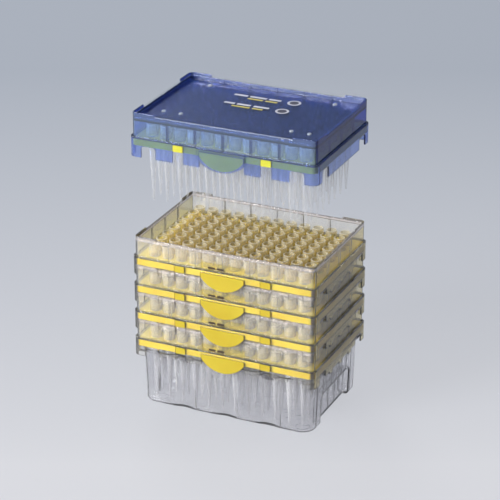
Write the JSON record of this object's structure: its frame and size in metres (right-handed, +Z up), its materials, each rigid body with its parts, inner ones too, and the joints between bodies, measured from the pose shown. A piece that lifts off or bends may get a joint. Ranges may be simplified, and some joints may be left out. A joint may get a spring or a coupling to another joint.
{
  "type": "pipette tip refill stack with transfer cover",
  "caption": "Stack of nested clear racks of pipette tips on a clear tray, with one more rack of tips lifted off in a blue transfer cover.",
  "frame": {"origin": "middle of the rack footprint, on the surface the tray's feet stand on", "axes": "+Z up through the stack, +X along the 12 columns of tips, +Y along the 8 rows from front to back; the plates' tabs are at -Y"},
  "size_m": [0.1216, 0.0846, 0.1928],
  "materials": {
    "clear_rack": "clear moulded plastic, glossy",
    "yellow_plate": "opaque yellow moulded plastic, satin gloss",
    "natural_tip": "natural translucent polypropylene",
    "blue_cover": "transparent blue moulded plastic, glossy"
  },
  "bodies": {
    "stack": {"base_tray": "clear_rack", "rack_1_plate": "yellow_plate", "rack_1_frame": "clear_rack", "rack_1_tips": "natural_tip", "rack_2_plate": "yellow_plate", "rack_2_frame": "clear_rack", "rack_2_tips": "natural_tip", "rack_3_plate": "yellow_plate", "rack_3_frame": "clear_rack", "rack_3_tips": "natural_tip", "rack_4_plate": "yellow_plate", "rack_4_frame": "clear_rack", "rack_4_tips": "natural_tip"},
    "lifted_rack": {"lifted_plate": "yellow_plate", "lifted_tips": "natural_tip"},
    "transfer_cover": {"transfer_cover": "blue_cover"}
  },
  "joints": [
    {"name": "rack_lift", "type": "slide", "parent": "stack", "child": "lifted_rack", "axis": [0, 0, 1], "range_m": [-0.0595, 0.03]},
    {"name": "cover_lift", "type": "slide", "parent": "lifted_rack", "child": "transfer_cover", "axis": [0, 0, 1], "range_m": [0, 0.05]}
  ]
}
